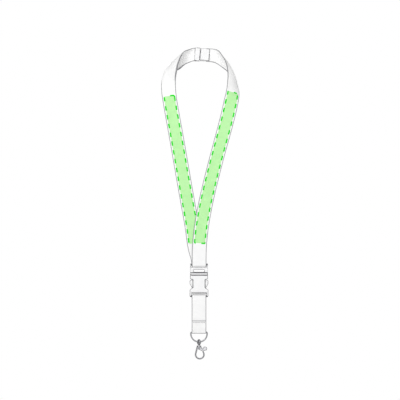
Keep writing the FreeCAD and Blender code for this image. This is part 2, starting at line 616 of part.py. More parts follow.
def hook_body():
    path, start, heading, tip = hook_path()
    profile = Part.Ellipse(V(0, 0, 0), HOOK_T / 2, HOOK_W / 2).toShape()
    heading = unit(heading)
    sideways = V(0, 1, 0).cross(heading)
    turn = FreeCAD.Rotation(V(0, 1, 0), sideways, heading, "ZXY")
    profile.Placement = FreeCAD.Placement(start, turn)
    rod = path.makePipeShell([Part.Wire(profile)], True, True)
    cap = Part.makeSphere(HOOK_W / 2)
    stretch = FreeCAD.Matrix()
    stretch.scale(1, HOOK_T / HOOK_W, 1)
    cap = cap.transformGeometry(stretch)
    cap.translate(tip)
    collar = Part.makeCone(COLLAR_LOW_R, COLLAR_R, COLLAR_TOP - COLLAR_END, V(0, BUCKLE_Y, COLLAR_END))
    collar = eased(collar, 0.35, lambda edge: edge.Curve.TypeId == "Part::GeomCircle")
    boss = rod_y(BOSS_R, HOOK_T, PIVOT_X, PIVOT_Z)
    guard = plate([(0.6, COLLAR_END + 0.8, 0), (3.2, COLLAR_END + 0.8, 0.3), (5.9, -408.0, 0.6),
                   (4.4, -408.6, 0.6), (2.2, COLLAR_END - 0.5, 0.3)], HOOK_T - 0.4)
    web = plate([(-2.4, -404.2, 0), (-1.2, -404.2, 0), (0.4, -405.2, 0), (0.4, -407.3, 0), (-2.4, -407.6, 0)],
                HOOK_T - 0.4)
    body = rod.fuse([cap, collar, boss, guard, web])
    hole = Part.makeCylinder(STEM_R + PIN_GAP, 6, V(0, BUCKLE_Y, COLLAR_END - 2))
    head_room = Part.makeCylinder(HEAD_R + 0.15, HEAD_H + 0.25, V(0, BUCKLE_Y, COLLAR_END - HEAD_H - 0.25))
    slot = centred_box(-1.6, 6.5, GATE_SLOT, -409.6, COLLAR_END - 0.3)
    groove = centred_box(3.4, 9.5, GATE_SLOT, GROOVE_END, -408.0)
    body = body.cut([hole, head_room, slot, groove])
    return body.cut(rod_y(GATE_PIN_R, THROUGH, PIVOT_X, PIVOT_Z)).removeSplitter()


def gate_lever():
    """Closes the hook from the pivot to the tip; the thumb tab stands out to the side."""
    outline = [(-1.15, -407.5, 1.1), (-1.0, -404.95, 1.1), (1.6, -405.0, 0.8), (5.6, -406.7, 1.0),
               (6.4, -403.6, 1.2), (11.0, -404.0, 2.2), (11.1, -408.6, 2.1), (6.7, -409.5, 0.6),
               (5.5, -410.7, 0.5), (4.3, -409.9, 0.5)]
    lever = plate(outline, GATE_T)
    return lever.cut(rod_y(GATE_PIN_R + PIN_GAP, THROUGH, PIVOT_X, PIVOT_Z))


def gate_pin():
    shank = rod_y(GATE_PIN_R, HOOK_T + 0.2, PIVOT_X, PIVOT_Z)
    ends = []
    for face in (-1, 1):
        near = BUCKLE_Y + face * HOOK_T / 2
        ends.append(Part.makeCone(0.85, 0.55, 0.2, V(PIVOT_X, near, PIVOT_Z), V(0, face, 0)))
    return shank.fuse(ends).removeSplitter()


def gate_spring():
    """A short leaf that presses on the lever's back, behind the guard."""
    leaf = [(1.5, -404.6, 0.08), (1.68, -404.43, 0.08), (3.55, -405.5, 0.08), (3.38, -405.68, 0.08)]
    return plate(leaf, GATE_T - 0.2)


# ------------------------------------------------------------------ nodes
def parts():
    return {
        "neck_strap_left": neck_strap(-1),
        "neck_strap_right": neck_strap(1),
        "print_panel_left": print_panel(-1),
        "print_panel_right": print_panel(1),
        "neck_tail_stitching": neck_stitching(),
        "breakaway_plug": breakaway_plug(),
        "breakaway_socket": breakaway_socket(),
        "buckle_plug": buckle_plug(),
        "latch_arm_left": latch_arm(-1),
        "latch_arm_right": latch_arm(1),
        "buckle_socket": buckle_socket(),
        "lower_strap": lower_strap(),
        "lower_strap_stitching": lower_stitching(),
        "d_ring": d_ring(),
        "swivel_eye": swivel_eye(),
        "hook_body": hook_body(),
        "gate_lever": gate_lever(),
        "gate_pin": gate_pin(),
        "gate_spring": gate_spring(),
    }


os.makedirs("parts", exist_ok=True)
for name, shape in parts().items():
    shape.exportStep("parts/%s.step" % name)
    counts = (name, shape.isValid(), len(shape.Solids), shape.Volume)
    print("%-24s valid %s  solids %d  volume %8.1f" % counts)
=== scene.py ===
"""A neck lanyard: breakaway clip, printed webbing, side release buckle, D-ring and swivel snap hook.

Lengths in this script are millimetres, as in the CAD, and MM turns them into metres where a mesh is made.
+Z is up, -Y is the front and the origin is at the nape.
"""
import json
import math

import bmesh
import bpy
import numpy as np
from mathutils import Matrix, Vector

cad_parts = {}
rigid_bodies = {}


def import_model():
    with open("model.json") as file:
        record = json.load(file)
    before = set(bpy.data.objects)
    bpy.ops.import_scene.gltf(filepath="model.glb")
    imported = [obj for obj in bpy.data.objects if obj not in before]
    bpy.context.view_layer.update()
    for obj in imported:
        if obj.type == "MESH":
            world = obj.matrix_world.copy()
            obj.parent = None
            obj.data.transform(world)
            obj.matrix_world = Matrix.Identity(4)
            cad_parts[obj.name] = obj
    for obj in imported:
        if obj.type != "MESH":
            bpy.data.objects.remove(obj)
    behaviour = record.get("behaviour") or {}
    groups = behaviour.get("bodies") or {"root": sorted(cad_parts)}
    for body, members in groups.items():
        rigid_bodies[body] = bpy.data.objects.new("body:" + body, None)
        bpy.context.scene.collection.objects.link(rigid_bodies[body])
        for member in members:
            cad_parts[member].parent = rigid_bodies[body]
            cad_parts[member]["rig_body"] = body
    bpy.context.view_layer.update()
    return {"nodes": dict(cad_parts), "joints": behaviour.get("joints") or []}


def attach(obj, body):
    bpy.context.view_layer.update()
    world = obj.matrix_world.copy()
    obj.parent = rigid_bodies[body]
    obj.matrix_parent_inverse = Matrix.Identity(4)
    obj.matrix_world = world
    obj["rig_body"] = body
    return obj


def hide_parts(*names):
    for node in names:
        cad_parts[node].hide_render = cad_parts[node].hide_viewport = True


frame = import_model()
nodes = frame["nodes"]
MM = 0.001

# ------------------------------------------------------------------ camera, floor and light
LENS = 500.0            # long, so that the view is nearly without perspective
SENSOR = 36.0
VIEW_WIDTH = 552.0      # what the camera takes in across, at the depth VIEW_Y
VIEW_X = 1.38
VIEW_Y = -30.0
VIEW_Z = -201.5
FLOOR_Z = -620.0
FLOOR_HALF = 3000.0
KEY = 9.5               # power of the main light, watts
RIM = 1.5               # power of the light behind
FRONT_FILL = 1.9        # extra strength of the white surroundings in front and behind
SIDE_FILL = 0.12        # their strength at the sides, above and below

# ------------------------------------------------------------------ webbing and what it runs round
WEB_W = 20.0
WEB_T = 0.8
CORE = WEB_T / 2        # from the middle surface of the webbing to either face
BAR_GAP = 0.2           # air between a fold and the bar inside it
LAYER_GAP = 0.45        # air between two straps on the same bar
BAR_R = 1.2             # radii of the bars of the plug, the socket and the D-ring
LOW_BAR_R = 1.3
RING_WIRE_R = 1.0
FOLD_LEFT = BAR_R + BAR_GAP + CORE
FOLD_RIGHT = FOLD_LEFT + WEB_T + LAYER_GAP
BAR_FOLD = LOW_BAR_R + BAR_GAP + CORE
RING_FOLD = RING_WIRE_R + BAR_GAP + CORE
TAIL = 15.0             # sewn-back end of a neck strap
TAIL_STEPS = 6          # steps along it
SECTION_STEP = 3.0      # spacing of the sections along a neck strap
TURN_STEPS = 16         # steps round half a turn

joint_at = {joint["name"]: joint.get("pos_m") for joint in frame["joints"]}
BUCKLE_Y = joint_at["buckle_swing"][1] / MM
BAR_Z = joint_at["buckle_swing"][2] / MM
LOW_BAR_Z = joint_at["drop_swing"][2] / MM
RING_BAR_Z = joint_at["ring_swing"][2] / MM
LEFT_Y = BUCKLE_Y - FOLD_LEFT
RIGHT_Y = BUCKLE_Y - FOLD_RIGHT

# ------------------------------------------------------------------ nape clip
CLIP_AT = (1.6, 1.9, -0.2)      # its parting line, in the middle of the webbing
CLIP_LEAN = 22.0                # degrees that its top leans back
CLIP_TURN = 3.0
JAW_L = 7.8                     # lengths of the plug half and of the socket half
BOX_L = 13.0
GRIP_L = 4.2                    # webbing held in each half

# ------------------------------------------------------------------ lower strap and seams
INNER_END = -377.0      # hidden end of the webbing
OUTER_END = -367.8      # cut end on the front
LAP_GAP = 0.08          # air between the two ends
LAP_LEAN = 0.04         # the cut end stands off by this much more
HIDDEN_LEAN = 0.03      # and the hidden end by this much
LAP_LOW = 1.5           # the front end is up to its full lift this far below the hidden end
RUN_STEPS = 12          # steps of the back run
RISE_STEPS = 6          # steps in which the front end rises
SEAM_Z = -370.5
SEAM_W = 18.0
TAIL_SEAMS = (2.5, 7.5)         # distances of the two seams from the end of the tails

# ------------------------------------------------------------------ printed panels
PRINT_W = 15.0
PRINT_LEFT = (-58.0, -261.0)    # heights of the upper and lower ends
PRINT_RIGHT = (-53.0, -261.0)
CORNER_LEFT = 2.4               # corner radii
CORNER_RIGHT = 1.0
CORNER_STEP = 15                # degrees between the rows in a corner
PANEL_ROWS = 84                 # rows between the corners
PANEL_CELLS = 3                 # cells on each side of the middle
INK_LOW = 0.0                   # the panel's ink, measured from the face of the webbing
INK_HIGH = 0.08
DASH_LOW = 0.06                 # the dashes' ink, which lies on the panel's
DASH_HIGH = 0.12
DASH_INSET = 0.3                # from the panel's edge in to the middle of the dashes
DASH_LENGTH = 6.3
DASH_PITCH = 12.3
DASH_WIDTH = 2.1
DASH_STEP = 0.7                 # spacing of the rows along a dash
# Dashes on the outer (-1) and the inner (1) half of each border: the first one, and where the even run
# begins, as distances from the middle of the top.
DASHES_LEFT = {-1: ((6.8, 12.6), 19.2), 1: ((1.2, 14.4), 20.8)}
DASHES_RIGHT = {1: ((6.9, 12.0), 18.4), -1: ((1.4, 6.0), 9.4)}

# ------------------------------------------------------------------ thread
STITCH_PITCH = 2.1
STITCH_L = 1.7
THREAD_R = 0.26
ARCH = 0.16             # how far a stitch stands off the webbing
SUNK = 0.12             # how deep its ends go in
SLANT = 0.08            # how much higher it ends than it begins
STITCH_STEPS = 8        # along a stitch
STITCH_SIDES = 8        # round the thread

# ------------------------------------------------------------------ edges and painted shade
SELVEDGE = 1.0          # width of the darker woven edge
FOLD_SHADE_REACH = 1.5         # how far the painted shade reaches to either side of a fold round a bar
SHADE_BORDER = 0.6            # width of the border of painted shade on the moulded faces
FACING = 0.96           # cosine from which a face counts as looking along a direction
GRAZING = 0.25          # cosine below which it counts as a wall beside that direction
FLATTEN = 1.5           # bends of a CAD mesh below this many degrees are dissolved
ROUNDED_FROM = 32.0     # edges sharper than this many degrees are rounded
CREASE = 50.0           # edges of webbing, ink and thread sharper than this many degrees stay sharp
METAL_CREASE = 40.0     # and edges of the metal parts sharper than this
# Radius of the rounded edges of each node.
EDGE_RADIUS = {
    "breakaway_plug": 0.25, "breakaway_socket": 0.25,
    "buckle_plug": 0.25, "latch_arm_left": 0.25, "latch_arm_right": 0.25, "buckle_socket": 0.3,
    "d_ring": 0.05, "swivel_eye": 0.1, "hook_body": 0.3, "gate_lever": 0.25, "gate_pin": 0.08,
    "gate_spring": 0.02,
}

# ------------------------------------------------------------------ routes of the neck straps
# Stations from the clip down: outer edge, middle (None where the webbing is flat across) and inner edge.
LEFT_ROUTE = [
    ((-13.0, -0.5, -11.0), (-15.0, 1.5, -2.0), (-14.5, -1.5, 7.0)),
    ((-20.0, -2.0, -14.5), (-27.0, -3.5, -5.0), (-21.5, -8.0, 3.0)),
    ((-26.0, -7.0, -20.0), (-35.5, -9.5, -10.0), (-25.5, -14.5, -5.5)),
    ((-33.0, -13.0, -23.5), (-41.0, -16.0, -16.0), (-28.5, -20.0, -14.0)),
    ((-42.5, -18.5, -27.5), (-46.0, -23.5, -22.0), (-30.0, -24.5, -22.5)),
    ((-49.5, -24.5, -33.0), (-47.0, -28.5, -28.5), (-31.5, -29.0, -30.5)),
    ((-52.0, -30.5, -40.5), (-43.5, -33.0, -38.5), (-32.2, -33.5, -38.5)),
    ((-52.0, -34.5, -49.5), (-42.0, -36.0, -48.0), (-32.0, -36.5, -47.0)),
    ((-50.3, LEFT_Y, -64.0), None, (-30.6, LEFT_Y, -61.0)),
    ((-46.8, LEFT_Y, -84.5), None, (-27.2, LEFT_Y, -81.0)),
    ((-38.9, LEFT_Y, -129.0), None, (-19.2, LEFT_Y, -125.5)),
    ((-25.3, LEFT_Y, -207.0), None, (-5.6, LEFT_Y, -203.5)),
    ((-18.6, LEFT_Y, -246.5), None, (1.1, LEFT_Y, -243.0)),
    ((-13.7, LEFT_Y, -275.5), None, (6.2, LEFT_Y, -273.0)),
    ((-10.9, LEFT_Y, -285.2), None, (9.1, LEFT_Y, -284.8)),
    ((-10.1, LEFT_Y, BAR_Z), None, (9.9, LEFT_Y, BAR_Z)),
]
RIGHT_ROUTE = [
    ((22.0, 1.0, -11.5), (23.5, 3.0, -2.0), (25.0, -0.5, 6.8)),
    ((28.0, 2.0, -15.0), (31.5, -0.5, -6.5), (31.0, -7.5, 0.5)),
    ((34.5, -2.5, -20.0), (39.5, -6.5, -11.5), (34.5, -14.0, -6.0)),
    ((41.5, -8.0, -26.0), (44.5, -13.0, -18.5), (37.5, -20.0, -13.5)),
    ((47.0, -13.5, -32.0), (47.5, -20.0, -24.5), (39.0, -25.0, -21.5)),
    ((52.0, -19.0, -38.5), (49.0, -26.0, -32.5), (39.5, -30.0, -30.0)),
    ((54.0, -25.0, -45.5), (48.0, -31.5, -41.0), (39.0, -34.5, -39.0)),
    ((55.5, -31.0, -53.5), (47.0, -35.5, -50.5), (38.0, -38.0, -48.0)),
    ((54.3, -37.0, -67.0), (44.5, -38.5, -64.8), (34.7, -39.0, -62.5)),
    ((50.0, -39.0, -86.5), None, (30.4, -39.0, -81.5)),
    ((46.2, -38.8, -101.5), None, (26.6, -38.8, -96.5)),
    ((38.3, RIGHT_Y, -130.0), None, (19.0, RIGHT_Y, -125.0)),
    ((28.2, RIGHT_Y, -168.5), None, (8.9, RIGHT_Y, -163.5)),
    ((19.2, RIGHT_Y, -207.0), None, (-0.4, RIGHT_Y, -203.0)),
    ((12.6, RIGHT_Y, -245.5), None, (-7.2, RIGHT_Y, -243.0)),
    ((10.3, RIGHT_Y, -274.5), None, (-9.7, RIGHT_Y, -274.0)),
    ((10.2, RIGHT_Y, BAR_Z), None, (-9.8, RIGHT_Y, BAR_Z)),
]


# ------------------------------------------------------------------ node trees
class Nodes:
    """Short names for building a node tree."""

    def __init__(self, tree):
        self.tree = tree

    def feed(self, value, socket):
        """Gives an input another node's output or a plain value."""
        if isinstance(value, bpy.types.NodeSocket):
            self.tree.links.new(value, socket)
        else:
            socket.default_value = value

    def output(self, kind, name):
        return self.tree.nodes.new(kind).outputs[name]

    def split(self, vector):
        """The first two coordinates of a vector."""
        node = self.tree.nodes.new("ShaderNodeSeparateXYZ")
        self.feed(vector, node.inputs["Vector"])
        return node.outputs["X"], node.outputs["Y"]

    def math(self, operation, a, b=0.0, c=0.0):
        node = self.tree.nodes.new("ShaderNodeMath")
        node.operation = operation
        for socket, value in zip(node.inputs, (a, b, c)):
            self.feed(value, socket)
        return node.outputs[0]

    def unit(self, value):
        """The value, kept between 0 and 1."""
        return self.math("MINIMUM", self.math("MAXIMUM", value, 0.0), 1.0)


class Surface(Nodes):
    """A material and the nodes that lead to its shader."""

    def __init__(self, name):
        self.material = bpy.data.materials.new(name)
        self.material.use_nodes = True
        super().__init__(self.material.node_tree)
        self.shader = self.tree.nodes["Principled BSDF"]

    def set(self, **values):
        """Feeds the shader's inputs; an underscore stands for a space in a name."""
        for name, value in values.items():
            self.feed(value, self.shader.inputs[name.replace("_", " ")])

    def uv(self, layer):
        place = self.tree.nodes.new("ShaderNodeUVMap")
        place.uv_map = layer
        return self.split(place.outputs["UV"])

    def mix(self, factor, a, b):
        node = self.tree.nodes.new("ShaderNodeMix")
        node.data_type = "RGBA"
        first, second = [socket for socket in node.inputs if socket.type == "RGBA"]
        self.feed(factor, node.inputs["Factor"])
        self.feed(a, first)
        self.feed(b, second)
        return [socket for socket in node.outputs if socket.type == "RGBA"][0]

    def noise(self, scale, detail):
        node = self.tree.nodes.new("ShaderNodeTexNoise")
        self.feed(scale, node.inputs["Scale"])
        self.feed(detail, node.inputs["Detail"])
        self.feed(self.output("ShaderNodeTexCoord", "Object"), node.inputs["Vector"])
        return node.outputs["Fac"]

    def bump(self, height, strength, distance):
        node = self.tree.nodes.new("ShaderNodeBump")
        self.feed(strength, node.inputs["Strength"])
        self.feed(distance, node.inputs["Distance"])
        self.feed(height, node.inputs["Height"])
        self.set(Normal=node.outputs["Normal"])


# ------------------------------------------------------------------ camera and stage
def make_camera():
    data = bpy.data.cameras.new("camera")
    data.lens = LENS
    data.sensor_width = SENSOR
    data.clip_end = 60.0
    camera = bpy.data.objects.new("camera", data)
    bpy.context.scene.collection.objects.link(camera)
    away = VIEW_WIDTH * LENS / SENSOR
    camera.location = (VIEW_X * MM, (VIEW_Y - away) * MM, VIEW_Z * MM)
    camera.rotation_euler = (math.radians(90), 0, 0)
    bpy.context.scene.camera = camera


def make_surroundings():
    """Plain white to the camera. As light they are strongest in front and behind."""
    world = bpy.data.worlds.new("studio")
    world.use_nodes = True
    bpy.context.scene.world = world
    n = Nodes(world.node_tree)
    background = n.tree.nodes["Background"]
    n.feed((1.0, 1.0, 1.0, 1), background.inputs["Color"])
    frontal = n.math("ABSOLUTE", n.split(n.output("ShaderNodeTexCoord", "Generated"))[1])
    strength = n.math("MULTIPLY_ADD", n.math("POWER", frontal, 2.0), FRONT_FILL, SIDE_FILL)
    level = n.tree.nodes.new("ShaderNodeMapRange")
    n.feed(n.output("ShaderNodeLightPath", "Is Camera Ray"), level.inputs["Value"])
    n.feed(strength, level.inputs["To Min"])
    n.feed(1.0, level.inputs["To Max"])
    n.feed(level.outputs["Result"], background.inputs["Strength"])


def make_floor():
    corners = [(-FLOOR_HALF, -FLOOR_HALF), (FLOOR_HALF, -FLOOR_HALF),
               (FLOOR_HALF, FLOOR_HALF), (-FLOOR_HALF, FLOOR_HALF)]
    mesh = bpy.data.meshes.new("floor")
    mesh.from_pydata([(x * MM, y * MM, FLOOR_Z * MM) for x, y in corners], [], [(0, 1, 2, 3)])
    floor = bpy.data.objects.new("floor", mesh)
    bpy.context.scene.collection.objects.link(floor)
    paper = Surface("floor_paper")
    paper.set(Base_Color=grey(0.86), Roughness=0.9)
    mesh.materials.append(paper.material)


def area_light(name, at, size, power):
    """A round light aimed at the middle of the object; at and size are in metres."""
    middle = Vector((0, 0, -0.2))
    data = bpy.data.lights.new(name, "AREA")
    data.shape = "DISK"
    data.size = size
    data.energy = power
    light = bpy.data.objects.new(name, data)
    light.location = at
    light.rotation_euler = (middle - Vector(at)).to_track_quat("-Z", "Y").to_euler()
    bpy.context.scene.collection.objects.link(light)


def make_stage():
    bpy.context.scene.view_settings.view_transform = "Standard"
    make_surroundings()
    make_floor()
    area_light("key", at=(-0.9, -1.3, 0.9), size=0.9, power=KEY)
    area_light("rim", at=(0.9, 0.6, 0.5), size=0.6, power=RIM)


# ------------------------------------------------------------------ materials
def grey(level, blue=0.0):
    """A grey that may lean a little to blue, or away from it."""
    return level, level, level + blue, 1


def weave(n):
    """Height of a fine herringbone weave, and the strap's own coordinates, across it and along it."""
    stripe = 2.5
    twill_pitch = 1.1
    rib_pitch = 0.62
    across, along = n.uv("strap")
    zigzag = n.math("ADD", along, n.math("PINGPONG", across, stripe))
    twill = n.math("SINE", n.math("MULTIPLY", zigzag, 2 * math.pi / twill_pitch))
    rib = n.math("SINE", n.math("MULTIPLY", across, 2 * math.pi / rib_pitch))
    yarns = n.math("MULTIPLY_ADD", rib, 0.35, twill)
    return n.math("MULTIPLY_ADD", yarns, 0.35, 0.5), across, along


def webbing_material(name, light, dark, edge=None, folds=(), cut_end=None):
    """edge is the colour of the selvedges, of the painted shade to either side of each fold and of a cut
    end.
    folds are the lengths along the strap at which it turns round a bar, cut_end the length at which it is
    cut."""
    n = Surface(name)
    n.set(Roughness=0.72, Sheen_Weight=0.25, Sheen_Roughness=0.5, Specular_IOR_Level=0.25)
    height, across, along = weave(n)
    patchy = n.math("SUBTRACT", n.noise(scale=90.0, detail=3.0), 0.5)
    colour = n.mix(n.unit(n.math("MULTIPLY_ADD", patchy, 0.9, height)), dark, light)
    if edge:
        # the selvedges and the cut end take the webbing's own darker tone; the bands to either side of each
        # fold round a bar are painted shade
        inside = n.math("SUBTRACT", n.math("ABSOLUTE", across), WEB_W / 2 - SELVEDGE)
        for fold in folds:
            from_fold = n.math("ABSOLUTE", n.math("SUBTRACT", along, fold))
            inside = n.math("MAXIMUM", inside, n.math("SUBTRACT", FOLD_SHADE_REACH, from_fold))
        if cut_end:
            inside = n.math("MAXIMUM", inside, n.math("SUBTRACT", along, cut_end - SELVEDGE))
        colour = n.mix(n.unit(n.math("MULTIPLY", inside, 5.0)), colour, edge)
    n.set(Base_Color=colour)
    n.bump(height, strength=0.5, distance=0.12 * MM)
    return n.material


def plastic_material(name, colour, shade):
    n = Surface(name)
    mottled = n.noise(scale=160.0, detail=4.0)
    n.set(Specular_IOR_Level=0.5, Base_Color=n.mix(mottled, colour, shade))
    n.set(Roughness=n.math("MULTIPLY_ADD", mottled, 0.16, 0.3))
    n.bump(n.noise(scale=2600.0, detail=3.0), strength=0.12, distance=0.05 * MM)
    return n.material


def metal_material(name, colour, shade, rough):
    n = Surface(name)
    n.set(Metallic=1.0, Base_Color=n.mix(n.noise(scale=220.0, detail=3.0), colour, shade))
    scratch = n.noise(scale=3200.0, detail=4.0)
    n.set(Roughness=n.math("MULTIPLY_ADD", scratch, 0.18, rough))
    n.bump(scratch, strength=0.08, distance=0.03 * MM)
    return n.material


def thread_material():
    n = Surface("thread")
    twist = n.tree.nodes.new("ShaderNodeTexWave")
    twist.bands_direction = "DIAGONAL"
    n.feed(900.0, twist.inputs["Scale"])
    n.feed(1.5, twist.inputs["Distortion"])
    n.feed(n.output("ShaderNodeTexCoord", "Object"), twist.inputs["Vector"])
    strand = twist.outputs["Fac"]
    n.set(Roughness=0.6, Sheen_Weight=0.3, Base_Color=n.mix(strand, grey(0.06, 0.01), grey(0.14, 0.01)))
    n.bump(strand, strength=0.5, distance=0.06 * MM)
    return n.material


WEB_LIGHT = grey(0.94, -0.005)
WEB_DARK = grey(0.86)
# the selvedge colour, also used as painted shade at the folds round the bars
WEB_EDGE_AND_FOLD_SHADE = grey(0.28, 0.01)
GREEN_INK = webbing_material("green_ink", (0.52, 0.90, 0.42, 1), (0.44, 0.82, 0.35, 1))
DASH_INK = webbing_material("dash_ink", (0.01, 0.72, 0.01, 1), (0.01, 0.64, 0.01, 1))
WHITE_PLASTIC = plastic_material("white_plastic", grey(0.90), grey(0.82, 0.01))
# near-black plastic: painted shade on the rounded edges, the slopes and the face borders of the mouldings
PLASTIC_EDGE_SHADE = plastic_material("plastic_edge_shade", grey(0.11, 0.01), grey(0.08, 0.01))
NICKEL = metal_material("nickel", grey(0.38, 0.01), grey(0.30, 0.02), 0.2)
BRIGHT_NICKEL = metal_material("bright_nickel", grey(0.56, 0.01), grey(0.46, 0.02), 0.2)
# dark metal: painted shade on the rounded edges of the metal parts and on the gate lever's slopes and face
# borders
NICKEL_EDGE_SHADE = metal_material("nickel_edge_shade", grey(0.14, 0.01), grey(0.10, 0.01), 0.35)
SPRING_STEEL = metal_material("spring_steel", grey(0.55, 0.02), grey(0.45, 0.03), 0.3)
THREAD = thread_material()


# ------------------------------------------------------------------ sections of the straps
# A section is three points across the webbing's middle surface (outer edge, middle, inner edge) and the
# direction in which the strap runs at each of them.
def natural_spline(points, at):
    """A cubic through the points at the given parameters, free at both ends; gives value and slope."""
    points = np.array(points, float)
    at = np.array(at, float)
    gaps = np.diff(at)
    count = len(at)
    chords = [(points[i + 1] - points[i]) / gaps[i] for i in range(count - 1)]
    system = np.zeros((count, count))
    right = np.zeros_like(points)
    system[0, 0] = system[-1, -1] = 1.0
    for i in range(1, count - 1):
        system[i, i - 1] = gaps[i - 1]
        system[i, i] = 2 * (gaps[i - 1] + gaps[i])
        system[i, i + 1] = gaps[i]
        right[i] = 6 * (chords[i] - chords[i - 1])
    bend = np.linalg.solve(system, right)

    def evaluate(t):
        i = min(max(int(np.searchsorted(at, t)) - 1, 0), count - 2)
        gap = gaps[i]
        a = (at[i + 1] - t) / gap
        b = (t - at[i]) / gap
        bulge = ((a**3 - a) * bend[i] + (b**3 - b) * bend[i + 1]) * gap**2 / 6
        tilt = ((3 * b**2 - 1) * bend[i + 1] - (3 * a**2 - 1) * bend[i]) * gap / 6
        return a * points[i] + b * points[i + 1] + bulge, chords[i] + tilt

    return evaluate


def clip_axes():
    """The clip's own axes, as the columns of a rotation."""
    lean = math.radians(-CLIP_LEAN)
    turn = math.radians(CLIP_TURN)
    about_x = np.array([[1, 0, 0],
                        [0, math.cos(lean), -math.sin(lean)],
                        [0, math.sin(lean), math.cos(lean)]])
    about_y = np.array([[math.cos(turn), 0, math.sin(turn)],
                        [0, 1, 0],
                        [-math.sin(turn), 0, math.cos(turn)]])
    return about_y @ about_x


def neck_route(side):
    """All stations of a neck strap, from inside its half of the clip down to the buckle's bar."""
    axes = clip_axes()
    length = JAW_L if side < 0 else BOX_L
    half = axes @ np.array([0, 0, WEB_W / 2])
    route = []
    for x in (side * (length - GRIP_L), side * length):
        middle = np.array(CLIP_AT) + axes @ np.array([x, 0, 0])
        route.append((middle - half, middle, middle + half))
    for outer, middle, inner in (LEFT_ROUTE if side < 0 else RIGHT_ROUTE):
        outer = np.array(outer)
        inner = np.array(inner)
        middle = np.array(middle) if middle else (outer + inner) / 2
        route.append((outer, middle, inner))
    return route


def flat_section(x, y, z, across, way):
    """A section straight across the webbing, y behind the buckle's middle plane, running along way in YZ."""
    middle = np.array([x, BUCKLE_Y + y, z])
    half = across * (WEB_W / 2)
    along = np.array([0, way[0], way[1]], float)
    return [middle - half, middle, middle + half], [along, along, along]


def half_turn(radius, bar_z, start, up):
    """Half a turn round a bar, as (y, z, way). It begins in front of the bar where start is -1 and behind
    where start is 1, and goes over the bar where up is 1 and under it where up is -1."""
    for i in range(TURN_STEPS + 1):
        angle = math.pi * i / TURN_STEPS
        sine = math.sin(angle)
        cosine = math.cos(angle)
        yield start * radius * cosine, bar_z + up * radius * sine, (-start * sine, up * cosine)


def neck_sections(side):
    """Sections of a neck strap from its clip half round to the sewn tail."""
    route = neck_route(side)
    at = [0.0]
    for one, two in zip(route, route[1:]):
        at.append(at[-1] + float(np.linalg.norm(one[1] - two[1])))
    lines = [natural_spline([station[k] for station in route], at) for k in range(3)]
    sections = []
    for start, end in zip(at, at[1:]):
        steps = max(1, round((end - start) / SECTION_STEP))
        for i in range(steps):
            pairs = [line(start + (end - start) * i / steps) for line in lines]
            sections.append(([point for point, way in pairs], [way for point, way in pairs]))
    x = route[-1][1][0]
    radius = FOLD_LEFT if side < 0 else FOLD_RIGHT
    across = np.array([-side, 0, 0.0])
    for y, z, way in half_turn(radius, BAR_Z, start=-1, up=-1):
        sections.append(flat_section(x, y, z, across, way))
    for k in range(1, TAIL_STEPS + 1):
        sections.append(flat_section(x, radius, BAR_Z + TAIL * k / TAIL_STEPS, across, (0, 1)))
    return sections


def lower_sections():
    """Sections of the lower strap: from its hidden end up the front, over the socket's bar, down the back,
    under the D-ring's bar and up over the hidden end to the cut one."""
    lap = RING_FOLD + WEB_T + LAP_GAP
    path = [(-RING_FOLD - HIDDEN_LEAN, INNER_END, (0, 1))]
    path.extend(half_turn(BAR_FOLD, LOW_BAR_Z, start=-1, up=1))
    for i in range(1, RUN_STEPS):
        part = i / RUN_STEPS
        y = BAR_FOLD + (RING_FOLD - BAR_FOLD) * part
        path.append((y, LOW_BAR_Z + (RING_BAR_Z - LOW_BAR_Z) * part, (0, -1)))
    path.extend(half_turn(RING_FOLD, RING_BAR_Z, start=1, up=-1))
    rise = INNER_END - LAP_LOW - RING_BAR_Z
    for i in range(1, RISE_STEPS + 1):
        part = i / RISE_STEPS
        ease = part * part * (3 - 2 * part)
        path.append((-RING_FOLD - (lap - RING_FOLD) * ease, RING_BAR_Z + rise * part, (0, 1)))
    path.append((-lap - LAP_LEAN / 2, (INNER_END + OUTER_END) / 2, (0, 1)))
    path.append((-lap - LAP_LEAN, OUTER_END, (0, 1)))
    across = np.array([1.0, 0, 0])
    return [flat_section(0, y, z, across, way) for y, z, way in path]


def lengths_along(sections):
    at = [0.0]
    for one, two in zip(sections, sections[1:]):
        at.append(at[-1] + float(np.linalg.norm(one[0][1] - two[0][1])))
    return at


def is_fold(sections, k):
    """True at the lowest or the highest section of a turn round a bar."""
    before, here, after = [sections[i][0][1][2] for i in (k - 1, k, k + 1)]
    return here < BAR_Z and (here - before) * (after - here) < 0


def section_at(sections, at, length):
    """The section a given length along a strap; at holds the lengths of the sections."""
    k = min(max(int(np.searchsorted(at, length)), 1), len(at) - 1)
    part = (length - at[k - 1]) / (at[k] - at[k - 1])
    one = sections[k - 1]
    two = sections[k]
    points = [a + (b - a) * part for a, b in zip(one[0], two[0])]
    ways = [a + (b - a) * part for a, b in zip(one[1], two[1])]
    return points, ways


def length_at_height(sections, at, height):
    """How far along a strap its front run passes a height."""
    for k in range(1, len(sections)):
        high = sections[k - 1][0][1][2]
        low = sections[k][0][1][2]
        if low <= height < high:
            return at[k - 1] + (at[k] - at[k - 1]) * (high - height) / (high - low)
    raise ValueError(height)


def on_section(section, offset):
    """The point offset from the middle (outer side negative) and the normal there."""
    (outer, middle, inner), (go_outer, go_middle, go_inner) = section
    v = 2 * offset / WEB_W
    bow = (outer + inner) / 2 - middle
    point = middle + (inner - outer) * (v / 2) + bow * (v * v)
    across = (inner - outer) / 2 + bow * (2 * v)
    go_bow = (go_outer + go_inner) / 2 - go_middle
    along = go_middle + (go_inner - go_outer) * (v / 2) + go_bow * (v * v)
    normal = np.cross(across, along)
    return point, normal / np.linalg.norm(normal)


